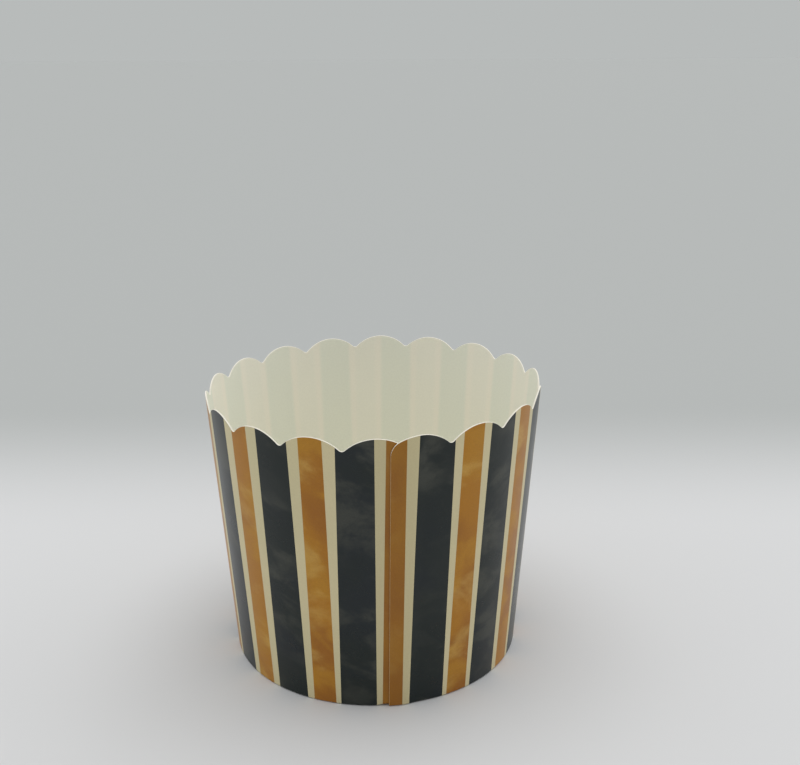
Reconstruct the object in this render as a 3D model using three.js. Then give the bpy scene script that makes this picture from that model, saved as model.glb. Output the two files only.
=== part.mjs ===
// A free-standing paper baking cup: a striped, scalloped card wall wrapped round a plain card floor.
// Millimetres and degrees, +Z up, the foot on z = 0 and the axis on x = y = 0.
// The wall is one blank. Its glued flap, the outer layer of the lap seam, has its cut edge at the front (-Y).
// Places round the blank are degrees counted anticlockwise from that edge's foot.
import * as THREE from 'three';

// The wrapped wall
const topRadius = 34; // outside of the wall, level with the bottom of the scallops
const baseRadius = 30.2; // outside of the wall at the foot
const valleyHeight = 54.8; // foot to the bottom of the scallops, at the flap
const cardThickness = 0.3;
const glueFilm = 0.05; // between two layers of card

// The scalloped rim
const scallopCount = 18; // on the whole blank
const scallopDepth = 2.4; // bottom of a valley to the top of a scallop
const cuspRadius = 0.8; // the rounding in a valley
const flapTrim = 0.36; // how far past a valley the flap's edge is cut
const flapCornerRadius = 1.4; // the rounding of the flap's top corner

// The blank is rolled a little off square
const rimRise = 0.63; // how much higher than the middle the rim stands on one side
const rimRiseAngle = 90; // where it stands highest
const rimSlip = 0.2; // how much lower the rim ends than it begins
const flapLean = 0.6; // degrees that the flap's edge moves round from the foot to the top

// The lap seam
const lapAngle = 6.5; // how far the flap lies over the inner end of the blank
const lapEase = 6; // how far the card takes to step over a layer

// The foot
const foldRadius = 0.05; // inside the two folds of the hem, up to a quarter of the pocket between them
const baseRecess = 4.5; // foot to the underside of the floor
const hemClearance = 0.5; // top of the hem to the underside of the floor
const skirtClearance = 0.3; // bottom of the skirt to the deepest layer of the fold
const bendRadius = 0.5; // inside the bend between the floor and its skirt

// The print: stripes of constant width, black and gold in turn, which lean a little beside the seam
const blackStripeWidth = 7;
const goldStripeWidth = 4.6;
const blackStripeAngles = [
  15.2, 40.75, 66.5, 91, 116, 141.5, 166.5, 191.5, 216.5, 242, 267.5, 294, 322.4, 349.9,
];
const flapGoldAngle = 1.6; // the gold stripe that the flap's edge cuts through
const innerGoldAngle = 363.15; // the gold stripe that runs under the flap
const printLean = -1.1; // degrees that the most leaning stripes move round from the top to the foot
const leanMiddle = 15; // the lean is full round this angle
const leanFull = 20; // out to this far from it
const leanEnd = 42; // and gone this far from it

// How finely curves are divided
const scallopSteps = 8; // between the roundings of two valleys
const cornerSteps = 3; // in the flap's rounded corner
const easeSteps = 4; // in each step over a layer
const foldSteps = 2; // in each fold of the hem
const bendSteps = 3; // in the bend of the floor
const floorSegments = 96;
const leastColumnStep = 0.35; // degrees between two columns of the wall
const endMargin = 1; // degrees at each end of the blank in which no stripe's edge guides the columns

// Colours
const creamColour = new THREE.Color(0xd9d2bd);
const plainColour = new THREE.Color(0xebe8d8);
const blackColour = new THREE.Color(0x2c3236);
const goldColour = new THREE.Color(0xa9742f);

// Sizes that follow
const spanAngle = 360 + lapAngle;
const trimAngle = arcAngle(flapTrim, topRadius);
const scallopPitch = (spanAngle + trimAngle) / scallopCount;
const layerStep = cardThickness + glueFilm;
const pocketWidth = cardThickness + 2 * glueFilm;
const hemWidth = 2 * cardThickness + pocketWidth;
const hemTop = baseRecess - hemClearance;
const foldInnerRadius = Math.min(foldRadius, pocketWidth / 4);
const foldOuterRadius = foldInnerRadius + cardThickness;

// Outside radius of the cone at a height
function coneRadius(z) {
  return THREE.MathUtils.mapLinear(z, 0, valleyHeight, baseRadius, topRadius);
}

function arcAngle(length, radius) {
  return THREE.MathUtils.radToDeg(length / radius);
}

// Scallops are round arcs, joined in each valley by a small round that they touch at tangentAngle from it
const halfChord = THREE.MathUtils.degToRad(scallopPitch / 2) * topRadius;
const centreDistance = (halfChord ** 2 + scallopDepth ** 2) / (2 * scallopDepth);
const scallopRadius = centreDistance - cuspRadius;
const tangentOffset = (halfChord * cuspRadius) / centreDistance;
const tangentAngle = arcAngle(tangentOffset, topRadius);

// Height of the scalloped edge at a distance from the nearest valley
function scallopHeight(offset) {
  if (offset < tangentOffset) {
    return cuspRadius - Math.sqrt(cuspRadius ** 2 - offset ** 2);
  }
  return scallopDepth - scallopRadius + Math.sqrt(scallopRadius ** 2 - (halfChord - offset) ** 2);
}

function rimHeight(angle) {
  const along = THREE.MathUtils.euclideanModulo(angle + trimAngle, scallopPitch);
  const offset = THREE.MathUtils.degToRad(Math.min(along, scallopPitch - along)) * topRadius;
  const fromFlapEdge = THREE.MathUtils.degToRad(angle - flapLean) * topRadius;
  const inCorner = Math.max(flapCornerRadius - fromFlapEdge, 0);
  const cornerDrop = flapCornerRadius - Math.sqrt(flapCornerRadius ** 2 - inCorner ** 2);
  const tilt = rimRise * Math.cos(THREE.MathUtils.degToRad(angle - rimRiseAngle));
  const slip = rimSlip * (angle / spanAngle);
  return valleyHeight + tilt - slip + scallopHeight(offset) - cornerDrop;
}

// Gold stripes stand halfway between the black ones, apart from the two at the ends of the blank
function listStripes() {
  const goldAngles = [flapGoldAngle, innerGoldAngle];
  for (let i = 1; i < blackStripeAngles.length; i += 1) {
    goldAngles.push((blackStripeAngles[i - 1] + blackStripeAngles[i]) / 2);
  }
  const black = blackStripeAngles.map((centre) => makeStripe(centre, blackStripeWidth, blackColour));
  const gold = goldAngles.map((centre) => makeStripe(centre, goldStripeWidth, goldColour));
  return [...black, ...gold];
}

// How far round a stripe has moved at the foot
function leanAt(angle) {
  const fromSeam = angle > 180 ? angle - 360 : angle;
  return printLean * (1 - THREE.MathUtils.smoothstep(Math.abs(fromSeam - leanMiddle), leanFull, leanEnd));
}

function makeStripe(centre, width, colour) {
  const topHalf = arcAngle(width / 2, topRadius);
  const footHalf = arcAngle(width / 2, baseRadius);
  const edges = [-1, 1].map((side) => ({
    top: centre + side * topHalf,
    foot: centre + leanAt(centre) + side * footHalf,
  }));
  return { centre, topHalf, colour, edges };
}

const stripes = listStripes();

// The stripes' edges guide the columns of the wall: their angles at the top and at the foot, in order
const stripeEdges = stripes
  .flatMap((stripe) => stripe.edges)
  .filter(({ top, foot }) => Math.min(top, foot) > endMargin && Math.max(top, foot) < spanAngle - endMargin);
const inOrder = (angles) => angles.sort((a, b) => a - b);
const guideTops = [flapLean, ...inOrder(stripeEdges.map((edge) => edge.top)), spanAngle];
const guideFeet = [0, ...inOrder(stripeEdges.map((edge) => edge.foot)), spanAngle];

// Angle at the foot of the column whose top stands at an angle
function footAngle(topAngle) {
  const next = Math.max(guideTops.findIndex((top) => top >= topAngle), 1);
  const share = (topAngle - guideTops[next - 1]) / (guideTops[next] - guideTops[next - 1]);
  return THREE.MathUtils.lerp(guideFeet[next - 1], guideFeet[next], share);
}

function printColour(topAngle) {
  const stripe = stripes.find(({ centre, topHalf }) => Math.abs(topAngle - centre) < topHalf);
  return stripe ? stripe.colour : creamColour;
}

// Columns stand at the ends, round the lap, at each stripe's edges and along each scallop
function columnAngles() {
  const wanted = [flapLean, spanAngle, lapAngle, 360];
  for (let step = 1; step <= easeSteps; step += 1) {
    const eased = (lapEase * step) / easeSteps;
    wanted.push(lapAngle + eased, 360 - eased);
  }
  wanted.push(...guideTops);
  for (let step = 1; step <= cornerSteps; step += 1) {
    const turn = (Math.PI / 2) * (step / cornerSteps);
    wanted.push(flapLean + arcAngle(flapCornerRadius * (1 - Math.cos(turn)), topRadius));
  }
  for (let scallop = 0; scallop <= scallopCount; scallop += 1) {
    const valley = scallop * scallopPitch - trimAngle;
    wanted.push(valley, valley - tangentAngle, valley + tangentAngle);
    for (let step = 1; step < scallopSteps; step += 1) {
      wanted.push(THREE.MathUtils.lerp(valley + tangentAngle, valley + scallopPitch - tangentAngle,
        step / scallopSteps));
    }
  }
  const kept = [];
  for (const angle of wanted) {
    const inside = angle >= flapLean && angle <= spanAngle;
    if (inside && kept.every((other) => Math.abs(other - angle) > leastColumnStep)) {
      kept.push(angle);
    }
  }
  return kept.sort((a, b) => a - b);
}

// How far the flap's layer stands outside the inner one, easing back once the inner end is passed
function flapOffset(angle) {
  return layerStep * (1 - THREE.MathUtils.smoothstep(angle, lapAngle, lapAngle + lapEase));
}

// How far the fold of the inner end is lifted to lie inside the fold of the flap
function foldLift(angle) {
  return layerStep * THREE.MathUtils.smoothstep(angle, 360 - lapEase, 360);
}

// Section of the wall, from the rim down, round the two folds and up the hem: printed and plain side
function wallSection(angle) {
  const offset = flapOffset(angle);
  const lift = foldLift(angle);
  const foldHeight = foldOuterRadius + lift;
  const rim = rimHeight(angle);
  const outside = coneRadius(foldHeight) + offset;
  const inside = coneRadius(foldHeight) - hemWidth - offset;
  const printed = [[coneRadius(rim) + offset, rim]];
  const plain = [[coneRadius(rim) + offset - cardThickness, rim]];
  const folds = [[outside - foldOuterRadius, 0], [inside + foldOuterRadius, Math.PI / 2]];
  for (const [centre, start] of folds) {
    for (let step = 0; step <= foldSteps; step += 1) {
      const turn = start + (Math.PI / 2) * (step / foldSteps);
      const direction = [Math.cos(turn), -Math.sin(turn)];
      printed.push([centre + foldOuterRadius * direction[0], foldHeight + foldOuterRadius * direction[1]]);
      plain.push([centre + foldInnerRadius * direction[0], foldHeight + foldInnerRadius * direction[1]]);
    }
  }
  const hemFace = coneRadius(hemTop) - hemWidth - offset;
  printed.push([hemFace, hemTop]);
  plain.push([hemFace + cardThickness, hemTop]);
  return { printed, plain };
}

// A column is its section stood up in space, leaning so that it follows the stripes
function wallColumn(topAngle) {
  const foot = footAngle(topAngle);
  const place = ([radius, z]) => {
    const angle = THREE.MathUtils.mapLinear(z, 0, valleyHeight, foot, topAngle);
    const turn = THREE.MathUtils.degToRad(angle - 90);
    return new THREE.Vector3(radius * Math.cos(turn), radius * Math.sin(turn), z);
  };
  const { printed, plain } = wallSection(topAngle);
  return { topAngle, printed: printed.map(place), plain: plain.map(place) };
}

// Skins the columns from the flap's edge round to the inner end, and closes both ends
function makeWallGeometry() {
  const positions = [];
  const colours = [];
  const addQuad = (corners, colour) => {
    for (const corner of [0, 1, 2, 0, 2, 3]) {
      positions.push(...corners[corner].toArray());
      colours.push(...colour.toArray());
    }
  };
  const columns = columnAngles().map(wallColumn);
  const last = columns[0].printed.length - 1;
  for (let i = 1; i < columns.length; i += 1) {
    const left = columns[i - 1];
    const right = columns[i];
    const colour = printColour((left.topAngle + right.topAngle) / 2);
    for (let k = 0; k < last; k += 1) {
      addQuad([left.printed[k + 1], right.printed[k + 1], right.printed[k], left.printed[k]], colour);
      addQuad([left.plain[k], right.plain[k], right.plain[k + 1], left.plain[k + 1]], plainColour);
    }
    addQuad([left.printed[0], right.printed[0], right.plain[0], left.plain[0]], plainColour);
    addQuad([left.plain[last], right.plain[last], right.printed[last], left.printed[last]], plainColour);
  }
  const { printed: flapPrinted, plain: flapPlain } = columns[0];
  const { printed: endPrinted, plain: endPlain } = columns[columns.length - 1];
  for (let k = 0; k < last; k += 1) {
    addQuad([flapPrinted[k + 1], flapPrinted[k], flapPlain[k], flapPlain[k + 1]], plainColour);
    addQuad([endPrinted[k], endPrinted[k + 1], endPlain[k + 1], endPlain[k]], plainColour);
  }
  const geometry = new THREE.BufferGeometry();
  geometry.setAttribute('position', new THREE.Float32BufferAttribute(positions, 3));
  geometry.setAttribute('color', new THREE.Float32BufferAttribute(colours, 3));
  geometry.computeVertexNormals();
  return geometry;
}

// The floor and its skirt, turned from one section. The skirt lies in the pocket, parallel to the wall.
function makeBaseGeometry() {
  const skirtFoot = 2 * layerStep + skirtClearance;
  const bendOuterRadius = bendRadius + cardThickness;
  const floorTop = baseRecess + cardThickness;
  const bendHeight = floorTop - bendOuterRadius;
  const skirtRadius = (z) => coneRadius(z) - layerStep;
  const bendCentre = skirtRadius(bendHeight) - bendOuterRadius;
  const bend = (radius) => {
    const points = [];
    for (let step = 0; step <= bendSteps; step += 1) {
      const turn = (Math.PI / 2) * (step / bendSteps);
      const outward = bendCentre + radius * Math.cos(turn);
      points.push(new THREE.Vector2(outward, bendHeight + radius * Math.sin(turn)));
    }
    return points;
  };
  const profile = [
    new THREE.Vector2(0, baseRecess),
    ...bend(bendRadius).reverse(),
    new THREE.Vector2(skirtRadius(skirtFoot) - cardThickness, skirtFoot),
    new THREE.Vector2(skirtRadius(skirtFoot), skirtFoot),
    ...bend(bendOuterRadius),
    new THREE.Vector2(0, floorTop),
  ];
  const geometry = new THREE.LatheGeometry(profile, floorSegments);
  geometry.rotateX(Math.PI / 2);
  return geometry;
}

const sideWall = new THREE.Mesh(
  makeWallGeometry(),
  new THREE.MeshStandardMaterial({ vertexColors: true, roughness: 0.5, metalness: 0 }),
);
sideWall.name = 'side_wall';

const baseDisc = new THREE.Mesh(
  makeBaseGeometry(),
  new THREE.MeshStandardMaterial({ color: plainColour, roughness: 0.6, metalness: 0 }),
);
baseDisc.name = 'base_disc';

const group = new THREE.Group();
group.add(sideWall, baseDisc);

export default group;
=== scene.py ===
import math

import bpy
import numpy as np
from mathutils import Matrix, Vector


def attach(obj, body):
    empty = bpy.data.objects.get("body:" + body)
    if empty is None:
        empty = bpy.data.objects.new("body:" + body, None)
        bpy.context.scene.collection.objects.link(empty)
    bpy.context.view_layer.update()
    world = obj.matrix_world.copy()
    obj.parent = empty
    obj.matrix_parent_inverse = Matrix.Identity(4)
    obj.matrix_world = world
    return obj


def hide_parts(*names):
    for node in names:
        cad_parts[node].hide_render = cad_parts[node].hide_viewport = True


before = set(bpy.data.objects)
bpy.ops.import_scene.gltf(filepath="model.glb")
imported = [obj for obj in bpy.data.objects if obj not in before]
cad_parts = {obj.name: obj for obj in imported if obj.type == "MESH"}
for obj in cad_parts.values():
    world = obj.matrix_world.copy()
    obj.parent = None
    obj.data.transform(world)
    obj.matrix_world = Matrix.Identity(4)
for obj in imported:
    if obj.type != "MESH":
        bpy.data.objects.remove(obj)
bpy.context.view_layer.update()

MM = 0.001

# The wrapped wall, as in the frame
TOP_RADIUS = 34.0
BASE_RADIUS = 30.2
VALLEY_HEIGHT = 54.8
CARD = 0.3
GLUE_FILM = 0.05
SCALLOP_COUNT = 18
SCALLOP_DEPTH = 2.4
CUSP_RADIUS = 0.8
FLAP_TRIM = 0.36
FLAP_CORNER_RADIUS = 1.4
RIM_RISE = 0.63
RIM_RISE_ANGLE = 90.0
RIM_SLIP = 0.2
FLAP_LEAN = 0.6
LAP_ANGLE = 6.5
LAP_EASE = 6.0
FOLD_RADIUS = 0.05
BASE_RECESS = 4.5
HEM_CLEARANCE = 0.5
SKIRT_CLEARANCE = 0.3
BEND_RADIUS = 0.5

# The print on the blank, in degrees from the flap's edge
BLACK_WIDTH = 7.0
GOLD_WIDTH = 4.6
BLACK_ANGLES = [
    15.2, 40.75, 66.5, 91, 116, 141.5, 166.5,
    191.5, 216.5, 242, 267.5, 294, 322.4, 349.9,
]
FLAP_GOLD_ANGLE = 1.6
INNER_GOLD_ANGLE = 363.15
PRINT_LEAN = -1.1
LEAN_MIDDLE = 15.0
LEAN_FULL = 20.0
LEAN_END = 42.0
# These strengths also set the painted backlight bands on the inside: light through the card, dimmer behind
# ink
SHOW_THROUGH = {"black": 1.0, "gold": 0.3}  # how strongly each ink shows through the card
SHOW_SOFTNESS = 0.9  # degrees over which a band fades at its edge
# Beside the seam the print is darkened: painted shade from the flap's step, spread over the stripes on both
# sides
SEAM_NEAR = 6.0  # degrees from the seam within which the print is darkest
SEAM_FAR = 12.0  # and from where on it is not darker at all

# Fine form that the frame's solids leave out
CUT_ROUND = 0.07  # rounding of the card's cut edges
FLAP_CHAMFER = 0.07  # width of the line along the flap's edge
FLAP_CHAMFER_SETS = 0.5  # how far it sets back, as a share of the card
FOOT_RIPPLE = 0.1  # how far the crimped fold lifts off the floor in places
FOOT_WAVES = ((31, 1.0, 0.0), (47, 0.8, 1.3), (83, 0.6, 0.4))  # number round the foot, height, phase
FOOT_WAVE_SCALE = 0.25  # brings the sum of the waves to the range from 0 to 1
RIPPLE_END = 350.0  # where the waves start to fade beside the inner end
COLUMN_STEP = 0.5
LEAST_STEP = 0.06
WALL_ROWS = 26
FOLD_STEPS = 6
ROUND_STEPS = 2
HEM_ROWS = 4
SUPPORT = 0.12  # rows this close to a rounding keep the wall beside it flat in the shading
FLOOR_SEGMENTS = 288
FLOOR_RINGS = 24
CORNER_STEPS = 8
BEND_STEPS = 8
GUIDE_MARGIN = 1.0  # stripe edges this close to an end of the blank guide no column
PLAIN_SIDE_OFFSET = 30.0  # moves the plain side's noise away from the printed side's

SPAN = 360 + LAP_ANGLE
TRIM = math.degrees(FLAP_TRIM / TOP_RADIUS)
PITCH = (SPAN + TRIM) / SCALLOP_COUNT
LAYER_STEP = CARD + GLUE_FILM
POCKET = CARD + 2 * GLUE_FILM
HEM_WIDTH = 2 * CARD + POCKET
HEM_TOP = BASE_RECESS - HEM_CLEARANCE
FOLD_OUTER = FOLD_RADIUS + CARD


def cone_radius(z):
    return BASE_RADIUS + (TOP_RADIUS - BASE_RADIUS) * z / VALLEY_HEIGHT


def arc_angle(length, radius):
    return math.degrees(length / radius)


def smoothstep(value, low, high):
    share = np.clip((value - low) / (high - low), 0, 1)
    return share * share * (3 - 2 * share)


HALF_CHORD = math.radians(PITCH / 2) * TOP_RADIUS
CENTRE_DISTANCE = (HALF_CHORD**2 + SCALLOP_DEPTH**2) / (2 * SCALLOP_DEPTH)
SCALLOP_RADIUS = CENTRE_DISTANCE - CUSP_RADIUS
TANGENT_OFFSET = HALF_CHORD * CUSP_RADIUS / CENTRE_DISTANCE


def rim_height(angle):
    """Height of the scalloped edge at angles from the flap's edge: round scallops, joined by small rounds."""
    along = np.mod(angle + TRIM, PITCH)
    offset = np.radians(np.minimum(along, PITCH - along)) * TOP_RADIUS
    valley = CUSP_RADIUS - np.sqrt(CUSP_RADIUS**2 - np.minimum(offset, TANGENT_OFFSET) ** 2)
    hill = np.sqrt(SCALLOP_RADIUS**2 - (HALF_CHORD - np.maximum(offset, TANGENT_OFFSET)) ** 2)
    scallop = np.where(offset < TANGENT_OFFSET, valley, SCALLOP_DEPTH - SCALLOP_RADIUS + hill)
    in_corner = np.maximum(FLAP_CORNER_RADIUS - np.radians(angle - FLAP_LEAN) * TOP_RADIUS, 0)
    corner_drop = FLAP_CORNER_RADIUS - np.sqrt(FLAP_CORNER_RADIUS**2 - in_corner**2)
    tilt = RIM_RISE * np.cos(np.radians(angle - RIM_RISE_ANGLE))
    return VALLEY_HEIGHT + tilt - RIM_SLIP * angle / SPAN + scallop - corner_drop


def lean_at(angle):
    """How far round a stripe has moved at the foot: in full beside the seam, and fading away from it."""
    from_seam = angle - 360 if angle > 180 else angle
    return PRINT_LEAN * (1 - float(smoothstep(abs(from_seam - LEAN_MIDDLE), LEAN_FULL, LEAN_END)))


def list_stripes():
    """Every stripe as (centre, half width at the top, ink, edges at the top, edges at the foot)."""
    middles = [(a + b) / 2 for a, b in zip(BLACK_ANGLES, BLACK_ANGLES[1:])]
    gold = [FLAP_GOLD_ANGLE, *middles, INNER_GOLD_ANGLE]
    stripes = []
    for ink, centres, width in (("black", BLACK_ANGLES, BLACK_WIDTH), ("gold", gold, GOLD_WIDTH)):
        top_half = arc_angle(width / 2, TOP_RADIUS)
        foot_half = arc_angle(width / 2, BASE_RADIUS)
        for centre in centres:
            tops = [centre - top_half, centre + top_half]
            foot = centre + lean_at(centre)
            feet = [foot - foot_half, foot + foot_half]
            stripes.append((centre, top_half, ink, tops, feet))
    return stripes


STRIPES = list_stripes()
EDGES = [edge for stripe in STRIPES for edge in zip(stripe[3], stripe[4])]
INNER_EDGES = [edge for edge in EDGES if min(edge) > GUIDE_MARGIN and max(edge) < SPAN - GUIDE_MARGIN]
GUIDE_TOPS = [FLAP_LEAN, *sorted(top for top, foot in INNER_EDGES), SPAN]
GUIDE_FEET = [0.0, *sorted(foot for top, foot in INNER_EDGES), SPAN]


def ink_at(angle):
    for centre, half, ink, *_ in STRIPES:
        if abs(angle - centre) < half:
            return ink
    return "cream"


def ink_behind(angle):
    """How much ink shows through the card, from 0 behind cream to 1 behind black, with soft edges."""
    amount = np.zeros_like(angle)
    for centre, half, ink, *_ in STRIPES:
        inside = half - np.abs(angle - centre)
        band = smoothstep(inside, -SHOW_SOFTNESS, SHOW_SOFTNESS)
        amount = np.maximum(amount, SHOW_THROUGH[ink] * band)
    return amount


def column_angles():
    chamfer = arc_angle(FLAP_CHAMFER, TOP_RADIUS)
    wanted = [FLAP_LEAN, SPAN, FLAP_LEAN + chamfer, FLAP_LEAN + 2 * chamfer, SPAN - chamfer]
    wanted += [LAP_ANGLE, 360.0, *GUIDE_TOPS]
    wanted += [scallop * PITCH - TRIM for scallop in range(1, SCALLOP_COUNT)]
    wanted += list(np.arange(COLUMN_STEP, SPAN, COLUMN_STEP))
    for turn in np.linspace(0, math.pi / 2, CORNER_STEPS + 1)[1:]:
        wanted.append(FLAP_LEAN + arc_angle(FLAP_CORNER_RADIUS * (1 - math.cos(turn)), TOP_RADIUS))
    kept = []
    for angle in wanted:
        if FLAP_LEAN <= angle <= SPAN and all(abs(angle - other) > LEAST_STEP for other in kept):
            kept.append(float(angle))
    return np.array(sorted(kept))


def foot_ripple(angle):
    """The small waves of the crimped fold, from 0 to 1."""
    turn = np.radians(angle)
    waves = sum(height * np.sin(number * turn + phase) for number, height, phase in FOOT_WAVES)
    return np.clip(0.5 + FOOT_WAVE_SCALE * waves, 0, 1)


def wall_paths(angle):
    """Radius and height of both faces of the card, row by row from the rim to the top of the hem."""
    offset = LAYER_STEP * (1 - smoothstep(angle, LAP_ANGLE, LAP_ANGLE + LAP_EASE))
    lift = LAYER_STEP * smoothstep(angle, 360 - LAP_EASE, 360)
    ripple = FOOT_RIPPLE * foot_ripple(angle) * (1 - smoothstep(angle, RIPPLE_END, 360))
    fold_height = FOLD_OUTER + lift
    rim = rim_height(angle)
    outside = cone_radius(fold_height) + offset
    inside = cone_radius(fold_height) - HEM_WIDTH - offset
    printed, plain = [], []
    # The rounded cut edge of the rim
    for step in range(ROUND_STEPS + 1):
        turn = math.pi / 2 * step / ROUND_STEPS
        inward = CUT_ROUND * (1 - math.sin(turn))
        height = rim - CUT_ROUND * (1 - math.cos(turn))
        printed.append((cone_radius(height) + offset - inward, height))
        plain.append((cone_radius(height) + offset - CARD + inward, height))
    # The cone
    top = rim - CUT_ROUND - SUPPORT
    bottom = fold_height + SUPPORT
    for share in np.linspace(0, 1, WALL_ROWS):
        height = top + (bottom - top) * share
        printed.append((cone_radius(height) + offset, height))
        plain.append((cone_radius(height) + offset - CARD, height))
    # The two folds of the hem
    for centre, start in ((outside - FOLD_OUTER, 0.0), (inside + FOLD_OUTER, math.pi / 2)):
        for step in range(FOLD_STEPS + 1):
            turn = start + math.pi / 2 * step / FOLD_STEPS
            across, down = math.cos(turn), math.sin(turn)
            raised = ripple * down
            for path, radius in ((printed, FOLD_OUTER), (plain, FOLD_RADIUS)):
                path.append((centre + radius * across, fold_height - radius * down + raised))
    # The hem
    for row in range(1, HEM_ROWS + 1):
        height = fold_height + (HEM_TOP - fold_height) * row / HEM_ROWS
        face = cone_radius(height) - HEM_WIDTH - offset
        printed.append((face, height))
        plain.append((face + CARD, height))
    return printed, plain


def cut_back_flap_edge(angle, printed):
    """Chamfers the printed face along both ends of the blank, where the die cut it."""
    chamfer = arc_angle(FLAP_CHAMFER, TOP_RADIUS)
    near = np.minimum(angle - FLAP_LEAN, SPAN - angle)
    back = FLAP_CHAMFER_SETS * CARD * np.clip(1 - near / chamfer, 0, 1)
    return [(radius - back, height) for radius, height in printed]


def make_mesh(name, points, faces, material_of_face, materials, attributes):
    mesh = bpy.data.meshes.new(name)
    mesh.from_pydata(points, [], faces)
    for material in materials:
        mesh.materials.append(material)
    mesh.polygons.foreach_set("material_index", material_of_face)
    mesh.polygons.foreach_set("use_smooth", [True] * len(faces))
    for label, kind, values in attributes:
        layer = mesh.attributes.new(label, kind, "POINT")
        field = "vector" if kind == "FLOAT_VECTOR" else "value"
        layer.data.foreach_set(field, np.asarray(values, dtype=np.float32).ravel())
    mesh.update()
    piece = bpy.data.objects.new(name, mesh)
    bpy.context.scene.collection.objects.link(piece)
    return piece


# Node helpers


def new_material(name):
    material = bpy.data.materials.new(name)
    material.use_nodes = True
    shader = material.node_tree.nodes["Principled BSDF"]
    return material, material.node_tree, shader


def add(tree, kind, inputs=None, **settings):
    """Adds a node. An input is a value, or another node's output socket."""
    node = tree.nodes.new(kind)
    for key, value in settings.items():
        setattr(node, key, value)
    for key, value in (inputs or {}).items():
        if isinstance(value, bpy.types.NodeSocket):
            tree.links.new(value, node.inputs[key])
        else:
            node.inputs[key].default_value = value
    return node


def noise(tree, vector, scale, detail=4.0, roughness=0.5, distortion=0.0, seed=0.0):
    settings = {"W": seed, "Scale": scale, "Detail": detail, "Roughness": roughness}
    settings.update({"Distortion": distortion, "Vector": vector})
    return add(tree, "ShaderNodeTexNoise", settings, noise_dimensions="4D").outputs["Fac"]


def remap(tree, value, low, high, new_low=0.0, new_high=1.0):
    """Carries a value from low to high over to new_low to new_high, easing at both ends."""
    settings = {"Value": value, "From Min": low, "From Max": high}
    settings.update({"To Min": new_low, "To Max": new_high})
    return add(tree, "ShaderNodeMapRange", settings, interpolation_type="SMOOTHSTEP").outputs["Result"]


def mix(tree, factor, first, second):
    node = add(tree, "ShaderNodeMix", data_type="RGBA")
    for index, value in ((0, factor), (6, first), (7, second)):
        if isinstance(value, bpy.types.NodeSocket):
            tree.links.new(value, node.inputs[index])
        elif index == 0:
            node.inputs[index].default_value = value
        else:
            node.inputs[index].default_value = (*value, 1.0)
    return node.outputs[2]


def scaled(tree, value, factor):
    """A value multiplied by a number or by another value."""
    return add(tree, "ShaderNodeMath", {0: value, 1: factor}, operation="MULTIPLY").outputs[0]


def brightened(tree, colour, value):
    """A colour with its brightness multiplied by a value socket."""
    settings = {"Color": colour, "Value": value}
    return add(tree, "ShaderNodeHueSaturation", settings).outputs["Color"]


def blank_place(tree):
    """Place on the flat blank, in centimetres: along the strip and up from the foot."""
    return add(tree, "ShaderNodeAttribute", attribute_name="blank_cm").outputs["Vector"]


def painted_seam_shade(tree):
    return add(tree, "ShaderNodeAttribute", attribute_name="seam_shade_mask").outputs["Fac"]


def stretched(tree, vector, factors):
    settings = {0: vector, 1: factors}
    return add(tree, "ShaderNodeVectorMath", settings, operation="MULTIPLY").outputs["Vector"]


def add_paper_bump(tree, shader, place, strength):
    """The faint grain of coated card."""
    wide = stretched(tree, place, (1.0, 0.6, 1.0))
    fibres = noise(tree, wide, scale=26.0, detail=3.0, roughness=0.6, distortion=0.3, seed=5.0)
    settings = {"Height": fibres, "Strength": strength, "Distance": BUMP_DEPTH}
    bump = add(tree, "ShaderNodeBump", settings)
    tree.links.new(bump.outputs["Normal"], shader.inputs["Normal"])


def print_grain(tree, place, seed):
    return noise(tree, place, scale=30.0, detail=2.0, roughness=0.6, seed=seed)


def card_grain(tree, place, seed):
    return noise(tree, place, scale=22.0, detail=3.0, roughness=0.65, seed=seed)


def set_colour(tree, shader, colour, grain, spread):
    """Gives a shader its colour, made lighter and darker by its grain."""
    brightness = remap(tree, grain, 0.3, 0.7, new_low=1 - spread, new_high=1 + spread)
    tree.links.new(brightened(tree, colour, brightness), shader.inputs["Base Color"])


# Colours, as linear red, green and blue
BLACK_GREENISH = (0.0006, 0.0066, 0.0048)
BLACK_BLUISH = (0.0006, 0.0060, 0.0088)
SMOKE_GREY = (0.045, 0.048, 0.037)
GOLD_WARM = (0.45, 0.188, 0.008)
GOLD_DEEP = (0.35, 0.131, 0.008)
GOLD_YELLOW = (0.50, 0.235, 0.014)
GOLD_PALE = (0.67, 0.42, 0.10)
# Gold and cream beside the seam, darkened as painted shade from the flap's step
GOLD_SHADED_AT_SEAM = (0.285, 0.113, 0.006)
CREAM = (0.68, 0.605, 0.36)
CREAM_LIGHT = (0.72, 0.63, 0.38)
CREAM_SHADED_AT_SEAM = (0.62, 0.54, 0.31)
INSIDE_WARM = (0.94, 0.905, 0.79)
INSIDE_COOL = (0.93, 0.90, 0.795)
# Inside colour behind ink: partly the ink's own show-through, partly painted shade where the ink blocks light
# coming through the card
INSIDE_SHADED_BY_INK = (0.853, 0.866, 0.760)
CUT_DARK = (0.86, 0.82, 0.70)
CUT_LIGHT = (0.93, 0.90, 0.80)
STAIN_DARK = (0.50, 0.30, 0.13)
STAIN_LIGHT = (0.62, 0.42, 0.22)
BASE_WARM = (0.88, 0.843, 0.738)
BASE_COOL = (0.87, 0.838, 0.743)

# The card's grain: depth in metres, and its strength under print and on the plain side
BUMP_DEPTH = 0.00004
PRINT_BUMP = 0.35
PLAIN_BUMP = 0.4


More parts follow.
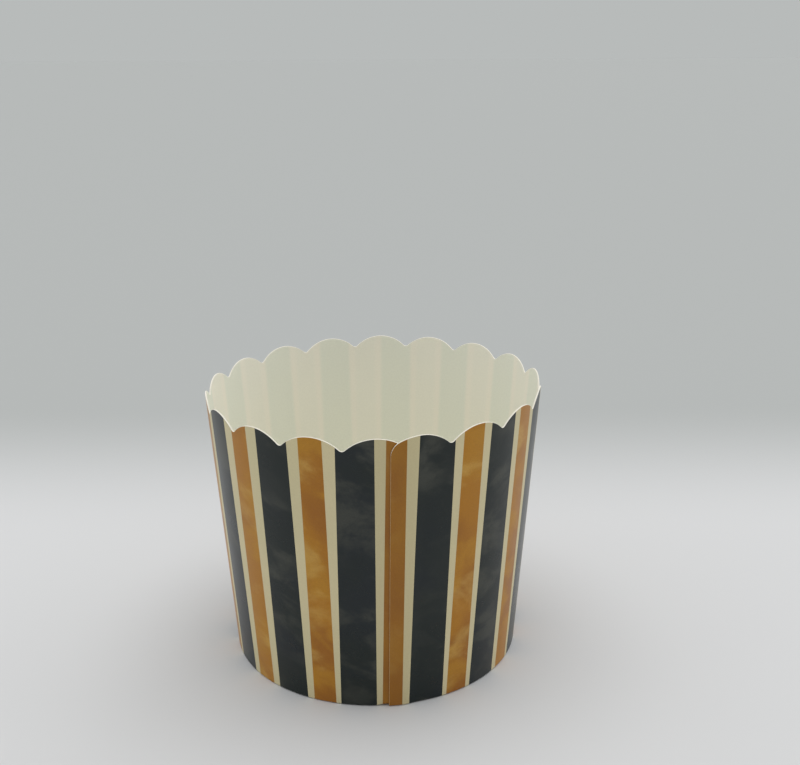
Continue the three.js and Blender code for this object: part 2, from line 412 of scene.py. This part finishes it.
def make_black_ink():
    """Green and blue blacks that drift into each other, with grey smoke over them."""
    material, tree, shader = new_material("black_ink")
    place = blank_place(tree)
    drift = noise(tree, place, scale=0.45, detail=3.0, roughness=0.5, distortion=0.6, seed=1.0)
    deep = mix(tree, remap(tree, drift, 0.42, 0.62), BLACK_GREENISH, BLACK_BLUISH)
    flat = stretched(tree, place, (0.85, 1.25, 1.0))
    smoke = noise(tree, flat, scale=1.1, detail=5.0, roughness=0.55, distortion=0.45, seed=562.0)
    cloud = noise(tree, place, scale=0.7, detail=2.0, roughness=0.5, distortion=0.2, seed=564.0)
    strength = remap(tree, cloud, 0.40, 0.58, new_low=0.15, new_high=0.85)
    smoky = mix(tree, scaled(tree, remap(tree, smoke, 0.46, 0.62), strength), deep, SMOKE_GREY)
    set_colour(tree, shader, smoky, print_grain(tree, place, seed=3.0), spread=0.1)
    gloss = remap(tree, smoke, 0.3, 0.7, new_low=0.26, new_high=0.33)
    tree.links.new(gloss, shader.inputs["Roughness"])
    shader.inputs["Specular IOR Level"].default_value = 0.42
    add_paper_bump(tree, shader, place, PRINT_BUMP)
    return material


def make_gold_ink():
    """Warm gold with deeper, yellower and paler clouds, and evener and darker beside the seam, where shade
    from the flap's step is painted in.
    """
    material, tree, shader = new_material("gold_ink")
    place = blank_place(tree)
    drift = noise(tree, place, scale=0.5, detail=3.0, roughness=0.5, distortion=0.5, seed=81.0)
    low = stretched(tree, place, (1.0, 1.2, 1.0))
    wash = noise(tree, low, scale=0.95, detail=4.0, roughness=0.5, distortion=0.4, seed=82.0)
    lower = stretched(tree, place, (1.0, 1.3, 1.0))
    light = noise(tree, lower, scale=0.8, detail=4.0, roughness=0.55, distortion=0.35, seed=83.0)
    warm = mix(tree, remap(tree, drift, 0.42, 0.60), GOLD_WARM, GOLD_DEEP)
    washed = mix(tree, scaled(tree, remap(tree, wash, 0.45, 0.62), 0.8), warm, GOLD_YELLOW)
    pale = mix(tree, scaled(tree, remap(tree, light, 0.54, 0.70), 0.5), washed, GOLD_PALE)
    # Painted shade from the flap's step, darkening the gold beside the seam
    toned = mix(tree, scaled(tree, painted_seam_shade(tree), 0.65), pale, GOLD_SHADED_AT_SEAM)
    set_colour(tree, shader, toned, print_grain(tree, place, seed=14.0), spread=0.05)
    gloss = remap(tree, wash, 0.3, 0.7, new_low=0.30, new_high=0.38)
    tree.links.new(gloss, shader.inputs["Roughness"])
    shader.inputs["Specular IOR Level"].default_value = 0.36
    add_paper_bump(tree, shader, place, PRINT_BUMP)
    return material


def make_cream_print():
    material, tree, shader = new_material("cream_print")
    place = blank_place(tree)
    drift = noise(tree, place, scale=0.6, detail=3.0, roughness=0.5, distortion=0.3, seed=21.0)
    even = mix(tree, remap(tree, drift, 0.35, 0.65), CREAM, CREAM_LIGHT)
    # Painted shade from the flap's step, darkening the cream beside the seam
    tone = mix(tree, painted_seam_shade(tree), even, CREAM_SHADED_AT_SEAM)
    set_colour(tree, shader, tone, print_grain(tree, place, seed=22.0), spread=0.025)
    shader.inputs["Roughness"].default_value = 0.42
    add_paper_bump(tree, shader, place, PRINT_BUMP)
    return material


def make_inside():
    """Greaseproof cream, in which the ink on the other side shows through as soft bands. The bands are partly
    painted: they stand for light that comes through the card from behind, dimmed where ink blocks it.
    """
    material, tree, shader = new_material("card_inside")
    place = blank_place(tree)
    through = add(tree, "ShaderNodeAttribute", attribute_name="ink_behind").outputs["Fac"]
    drift = noise(tree, place, scale=0.4, detail=3.0, roughness=0.5, distortion=0.2, seed=31.0)
    clear = mix(tree, remap(tree, drift, 0.35, 0.65), INSIDE_WARM, INSIDE_COOL)
    # Painted light and shade: the card passes no light, so these bands stand for light from behind, dimmer
    # behind ink
    banded = mix(tree, through, clear, INSIDE_SHADED_BY_INK)
    set_colour(tree, shader, banded, card_grain(tree, place, seed=32.0), spread=0.02)
    shader.inputs["Roughness"].default_value = 0.55
    add_paper_bump(tree, shader, place, PLAIN_BUMP)
    return material


def make_fibre_edge(name, scale, seed, dark, light):
    """A cut edge of the card, in which its fibres show."""
    material, tree, shader = new_material(name)
    fibres = noise(tree, blank_place(tree), scale, detail=3.0, roughness=0.6, seed=seed)
    tone = mix(tree, remap(tree, fibres, 0.35, 0.65), dark, light)
    tree.links.new(tone, shader.inputs["Base Color"])
    shader.inputs["Roughness"].default_value = 0.8
    return material


def make_base_card():
    material, tree, shader = new_material("base_card")
    place = blank_place(tree)
    drift = noise(tree, place, scale=0.5, detail=3.0, roughness=0.5, distortion=0.2, seed=51.0)
    tone = mix(tree, remap(tree, drift, 0.35, 0.65), BASE_WARM, BASE_COOL)
    set_colour(tree, shader, tone, card_grain(tree, place, seed=52.0), spread=0.02)
    shader.inputs["Roughness"].default_value = 0.55
    add_paper_bump(tree, shader, place, PLAIN_BUMP)
    return material


MATERIALS = {
    "black": make_black_ink(),
    "gold": make_gold_ink(),
    "cream": make_cream_print(),
    "inside": make_inside(),
    "edge": make_fibre_edge("cut_edge", 40.0, 41.0, CUT_DARK, CUT_LIGHT),
    # The flap's cut edge, over which the blade dragged some ink
    "stained_edge": make_fibre_edge("stained_edge", 20.0, 61.0, STAIN_DARK, STAIN_LIGHT),
}


def make_wall():
    """The printed wall: a strip of the card's section, swept from the flap's edge round to the inner end."""
    tops = column_angles()
    feet = np.interp(tops, GUIDE_TOPS, GUIDE_FEET)
    printed, plain = wall_paths(tops)
    printed = cut_back_flap_edge(tops, printed)
    rows = printed + plain[::-1]
    half = len(printed)
    radius = np.array([np.broadcast_to(row[0], tops.shape) for row in rows])
    height = np.array([np.broadcast_to(row[1], tops.shape) for row in rows])
    angle = feet + (tops - feet) * height / VALLEY_HEIGHT
    turn = np.radians(angle - 90)
    points = np.stack([radius * np.cos(turn), radius * np.sin(turn), height], axis=-1) * MM
    along = np.radians(angle) * cone_radius(height)
    side = np.where(np.arange(len(rows)) < half, 0.0, PLAIN_SIDE_OFFSET)[:, None] + np.zeros_like(height)
    blank = np.stack([along, height, side], axis=-1) / 10
    behind = ink_behind(np.broadcast_to(tops, height.shape).ravel())
    # How much painted seam shade each point gets
    from_seam = np.abs(np.where(tops > 180, tops - 360, tops) - FLAP_GOLD_ANGLE)
    seam_shade_mask = 1 - smoothstep(from_seam, SEAM_NEAR, SEAM_FAR)
    seam_shade_mask = np.broadcast_to(seam_shade_mask, height.shape).ravel()
    columns = len(tops)
    count = len(rows)
    order = list(MATERIALS)
    edge = order.index("edge")
    stained = order.index("stained_edge")
    inside = order.index("inside")
    chamfer = arc_angle(FLAP_CHAMFER, TOP_RADIUS)
    faces, kinds = [], []
    for column in range(columns - 1):
        middle = (tops[column] + tops[column + 1]) / 2
        on_chamfer = min(middle - FLAP_LEAN, SPAN - middle) < chamfer
        ink = stained if on_chamfer else order.index(ink_at(middle))
        for row in range(count):
            below = (row + 1) % count
            left, right = column, column + 1
            corners = (below, left), (below, right), (row, right), (row, left)
            faces.append([r * columns + c for r, c in corners])
            if row < ROUND_STEPS or row >= count - 1 - ROUND_STEPS or row == half - 1:
                kinds.append(edge)
            else:
                kinds.append(ink if row < half else inside)
    last = columns - 1
    for row in range(half - 1):
        mirror = count - 1 - row
        start = [row + 1, row, mirror, mirror - 1]
        faces.append([r * columns for r in start])
        faces.append([r * columns + last for r in reversed(start)])
        kinds += [stained, stained]
    attributes = [
        ("blank_cm", "FLOAT_VECTOR", blank.reshape(-1, 3)),
        ("ink_behind", "FLOAT", behind),
        ("seam_shade_mask", "FLOAT", seam_shade_mask),
    ]
    points = points.reshape(-1, 3).tolist()
    return make_mesh("printed_wall", points, faces, kinds, list(MATERIALS.values()), attributes)


def base_profile():
    """Radius and height from the middle of the underside, round the skirt, to the middle of the floor."""
    skirt_foot = 2 * LAYER_STEP + SKIRT_CLEARANCE
    bend_outer = BEND_RADIUS + CARD
    floor_top = BASE_RECESS + CARD
    bend_height = floor_top - bend_outer
    centre = cone_radius(bend_height) - LAYER_STEP - bend_outer
    turns = np.linspace(0, math.pi / 2, BEND_STEPS + 1)
    under = [(centre * share, BASE_RECESS) for share in np.linspace(0, 1, FLOOR_RINGS)[:-1]]
    profile = list(under)
    for turn in turns[::-1]:
        across, up = BEND_RADIUS * math.cos(turn), BEND_RADIUS * math.sin(turn)
        profile.append((centre + across, bend_height + up))
    inner = cone_radius(skirt_foot) - LAYER_STEP - CARD
    outer = inner + CARD
    profile += [(inner + CUT_ROUND, skirt_foot), (outer - CUT_ROUND, skirt_foot)]
    profile += [(outer, skirt_foot + CUT_ROUND)]
    for turn in turns:
        across, up = bend_outer * math.cos(turn), bend_outer * math.sin(turn)
        profile.append((centre + across, bend_height + up))
    profile += [(radius, floor_top) for radius, height in under[::-1]]
    return profile


def make_base():
    """The floor with its skirt, turned from one section."""
    profile = base_profile()
    segments = FLOOR_SEGMENTS
    points = [(0.0, 0.0, profile[0][1] * MM), (0.0, 0.0, profile[-1][1] * MM)]
    rings = profile[1:-1]
    for radius, height in rings:
        for segment in range(segments):
            turn = 2 * math.pi * segment / segments
            points.append((radius * math.cos(turn) * MM, radius * math.sin(turn) * MM, height * MM))
    faces = []
    last = len(rings) - 1
    for segment in range(segments):
        after = (segment + 1) % segments
        faces.append([0, 2 + after, 2 + segment])
        faces.append([1, 2 + last * segments + segment, 2 + last * segments + after])
        for ring in range(last):
            near, far = 2 + ring * segments, 2 + (ring + 1) * segments
            faces.append([near + segment, near + after, far + after, far + segment])
    blank = np.array(points) / MM / 10
    attributes = [("blank_cm", "FLOAT_VECTOR", blank)]
    return make_mesh("base_card_disc", points, faces, [0] * len(faces), [make_base_card()], attributes)


wall = make_wall()
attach(wall, "root")
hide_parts("side_wall")

base = make_base()
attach(base, "root")
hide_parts("base_disc")

# The camera, at the photograph's angle, in millimetres and degrees
CAMERA_PLACE = (-14.87, -202.30, 121.37)
CAMERA_PITCH = 17.767
CAMERA_HEADING = -5.75
CAMERA_ROLL = -0.274
CAMERA_LENS = 46.592
SENSOR_WIDTH = 36.0
NEAR_CLIP = 0.01  # metres


def make_camera():
    data = bpy.data.cameras.new("camera")
    data.lens = CAMERA_LENS
    data.sensor_width = SENSOR_WIDTH
    data.clip_start = NEAR_CLIP
    camera = bpy.data.objects.new("camera", data)
    heading = Matrix.Rotation(math.radians(CAMERA_HEADING), 4, "Z")
    tilt = Matrix.Rotation(math.radians(90 - CAMERA_PITCH), 4, "X")
    roll = Matrix.Rotation(math.radians(CAMERA_ROLL), 4, "Z")
    place = Matrix.Translation(Vector(CAMERA_PLACE) * MM)
    camera.matrix_world = place @ heading @ tilt @ roll
    bpy.context.scene.collection.objects.link(camera)
    bpy.context.scene.camera = camera


make_camera()

# The stage: a floor made darker behind the cup and far from it. This is painted shade, standing for the
# less-lit upright part of a paper sweep behind the cup and beyond
FLOOR_SIZE = 30.0
FLOOR_NEAR = (0.674, 0.682, 0.688)
# Floor colour where the painted shade is full
FLOOR_FAR_SHADED = (0.453, 0.470, 0.464)
SWEEP_START = 0.045  # metres behind the cup's middle, away from the camera
SWEEP_END = 0.15
ROOM_START = 0.12  # metres from the cup's middle
ROOM_END = 0.55
DOME = (0.48, 0.48, 0.48)
DOME_SEEN = (0.479, 0.497, 0.492)


def make_floor():
    material, tree, shader = new_material("pale_floor")
    place = add(tree, "ShaderNodeTexCoord").outputs["Object"]
    heading = math.radians(CAMERA_HEADING)
    away = (-math.sin(heading), math.cos(heading), 0.0)
    forward = add(tree, "ShaderNodeVectorMath", {0: place, 1: away}, operation="DOT_PRODUCT")
    distance = add(tree, "ShaderNodeVectorMath", {0: place}, operation="LENGTH")
    # Painted shade: the floor darkens behind the cup and with distance from it
    sweep_shade = remap(tree, forward.outputs["Value"], SWEEP_START, SWEEP_END)
    room_shade = remap(tree, distance.outputs["Value"], ROOM_START, ROOM_END)
    far = add(tree, "ShaderNodeMath", {0: sweep_shade, 1: room_shade}, operation="MAXIMUM").outputs[0]
    tone = mix(tree, far, FLOOR_NEAR, FLOOR_FAR_SHADED)
    tree.links.new(tone, shader.inputs["Base Color"])
    shader.inputs["Roughness"].default_value = 0.9
    shader.inputs["Specular IOR Level"].default_value = 0.1
    half = FLOOR_SIZE / 2
    points = [(-half, -half, 0), (half, -half, 0), (half, half, 0), (-half, half, 0)]
    floor = make_mesh("floor", points, [[0, 1, 2, 3]], [0], [material], [])


def make_world():
    """An even dome of light. The camera and reflections see a plain pale grey."""
    world = bpy.data.worlds.new("studio")
    world.use_nodes = True
    bpy.context.scene.world = world
    tree = world.node_tree
    path = add(tree, "ShaderNodeLightPath")
    seen = path.outputs["Is Camera Ray"]
    for ray in ("Is Glossy Ray", "Is Transmission Ray"):
        either = {0: seen, 1: path.outputs[ray]}
        seen = add(tree, "ShaderNodeMath", either, operation="MAXIMUM").outputs[0]
    colour = mix(tree, seen, DOME, DOME_SEEN)
    background = tree.nodes["Background"]
    tree.links.new(colour, background.inputs["Color"])
    background.inputs["Strength"].default_value = 1.0


def add_sun(name, towards, level, spread):
    """A broad soft light from a direction. level is what it adds to a white surface that faces it."""
    light = bpy.data.lights.new(name, "SUN")
    light.energy = level * math.pi
    light.angle = math.radians(spread)
    sun = bpy.data.objects.new(name, light)
    sun.rotation_euler = Vector(towards).to_track_quat("Z", "Y").to_euler()
    bpy.context.scene.collection.objects.link(sun)


make_floor()
make_world()
add_sun("overhead", towards=(0.02, 0.06, 1.0), level=0.40, spread=60)
add_sun("right_rear", towards=(0.9, 0.5, 0.55), level=0.20, spread=70)
add_sun("left_rear", towards=(-0.9, 0.4, 0.55), level=0.11, spread=70)

bpy.context.scene.view_settings.view_transform = "Standard"
